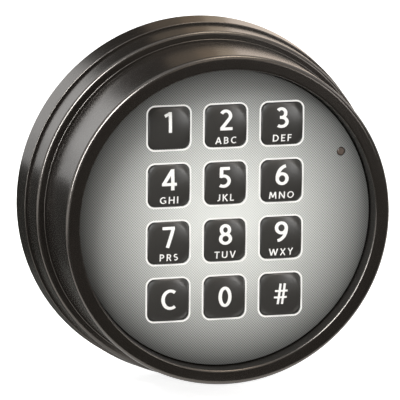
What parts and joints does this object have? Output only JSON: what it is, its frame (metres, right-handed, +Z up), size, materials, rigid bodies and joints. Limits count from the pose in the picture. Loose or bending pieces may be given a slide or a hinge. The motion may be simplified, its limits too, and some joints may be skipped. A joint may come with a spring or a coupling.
{
  "type": "electronic safe lock keypad",
  "caption": "Round keypad dial of an electronic safe lock, turning in a stepped base ring that screws to a door.",
  "frame": {"origin": "centre of the base ring's back face, on the dial's axis, midway between the two screw holes", "axes": "+Y into the door along the dial's axis, keypad facing -Y, +Z up, +X to the right seen from the front"},
  "size_m": [0.102, 0.039, 0.102],
  "materials": {
    "dark_plating": "satin",
    "panel_print": "satin",
    "key_plastic": "gloss",
    "lamp_lens": "gloss",
    "mat_rubber": "matte",
    "board_laminate": "satin",
    "black_package": "matte",
    "capacitor_sleeve": "gloss",
    "socket_nylon": "satin",
    "back_plastic": "matte",
    "battery_jacket": "satin",
    "lead_insulation": "satin",
    "bearing_brass": "satin",
    "spring_steel": "satin",
    "screw_steel": "bright",
    "hub_metal": "cast"
  },
  "bodies": {
    "base": {"base_ring": "dark_plating", "hub_bush": "bearing_brass", "wave_washer": "spring_steel", "stop_pin": "spring_steel"},
    "dial": {"dial_housing": "dark_plating", "faceplate": "panel_print", "key_mat": "mat_rubber", "circuit_board": "board_laminate", "board_screws": "screw_steel", "status_lamp": "lamp_lens", "controller_chip": "black_package", "buzzer": "black_package", "capacitor": "capacitor_sleeve", "cable_socket": "socket_nylon", "dial_back": "back_plastic", "housing_screws": "screw_steel", "drive_hub": "hub_metal", "hub_screws": "screw_steel", "retaining_ring": "spring_steel", "battery_tray": "back_plastic", "battery_left": "battery_jacket", "battery_right": "battery_jacket", "battery_snaps": "black_package", "battery_leads": "lead_insulation"},
    "key_1_cap": {"key_1": "key_plastic"},
    "key_2_cap": {"key_2": "key_plastic"},
    "key_3_cap": {"key_3": "key_plastic"},
    "key_4_cap": {"key_4": "key_plastic"},
    "key_5_cap": {"key_5": "key_plastic"},
    "key_6_cap": {"key_6": "key_plastic"},
    "key_7_cap": {"key_7": "key_plastic"},
    "key_8_cap": {"key_8": "key_plastic"},
    "key_9_cap": {"key_9": "key_plastic"},
    "key_clear_cap": {"key_clear": "key_plastic"},
    "key_0_cap": {"key_0": "key_plastic"},
    "key_enter_cap": {"key_enter": "key_plastic"}
  },
  "joints": [
    {"name": "dial_turn", "type": "hinge", "parent": "base", "child": "dial", "pos_m": [0, 0, 0], "axis": [0, 1, 0], "range_deg": [0, 90]},
    {"name": "key_1_press", "type": "slide", "parent": "dial", "child": "key_1_cap", "axis": [0, 1, 0], "range_m": [0, 0.0008], "stiffness_N_per_m": 600},
    {"name": "key_2_press", "type": "slide", "parent": "dial", "child": "key_2_cap", "axis": [0, 1, 0], "range_m": [0, 0.0008], "stiffness_N_per_m": 600},
    {"name": "key_3_press", "type": "slide", "parent": "dial", "child": "key_3_cap", "axis": [0, 1, 0], "range_m": [0, 0.0008], "stiffness_N_per_m": 600},
    {"name": "key_4_press", "type": "slide", "parent": "dial", "child": "key_4_cap", "axis": [0, 1, 0], "range_m": [0, 0.0008], "stiffness_N_per_m": 600},
    {"name": "key_5_press", "type": "slide", "parent": "dial", "child": "key_5_cap", "axis": [0, 1, 0], "range_m": [0, 0.0008], "stiffness_N_per_m": 600},
    {"name": "key_6_press", "type": "slide", "parent": "dial", "child": "key_6_cap", "axis": [0, 1, 0], "range_m": [0, 0.0008], "stiffness_N_per_m": 600},
    {"name": "key_7_press", "type": "slide", "parent": "dial", "child": "key_7_cap", "axis": [0, 1, 0], "range_m": [0, 0.0008], "stiffness_N_per_m": 600},
    {"name": "key_8_press", "type": "slide", "parent": "dial", "child": "key_8_cap", "axis": [0, 1, 0], "range_m": [0, 0.0008], "stiffness_N_per_m": 600},
    {"name": "key_9_press", "type": "slide", "parent": "dial", "child": "key_9_cap", "axis": [0, 1, 0], "range_m": [0, 0.0008], "stiffness_N_per_m": 600},
    {"name": "key_clear_press", "type": "slide", "parent": "dial", "child": "key_clear_cap", "axis": [0, 1, 0], "range_m": [0, 0.0008], "stiffness_N_per_m": 600},
    {"name": "key_0_press", "type": "slide", "parent": "dial", "child": "key_0_cap", "axis": [0, 1, 0], "range_m": [0, 0.0008], "stiffness_N_per_m": 600},
    {"name": "key_enter_press", "type": "slide", "parent": "dial", "child": "key_enter_cap", "axis": [0, 1, 0], "range_m": [0, 0.0008], "stiffness_N_per_m": 600}
  ]
}
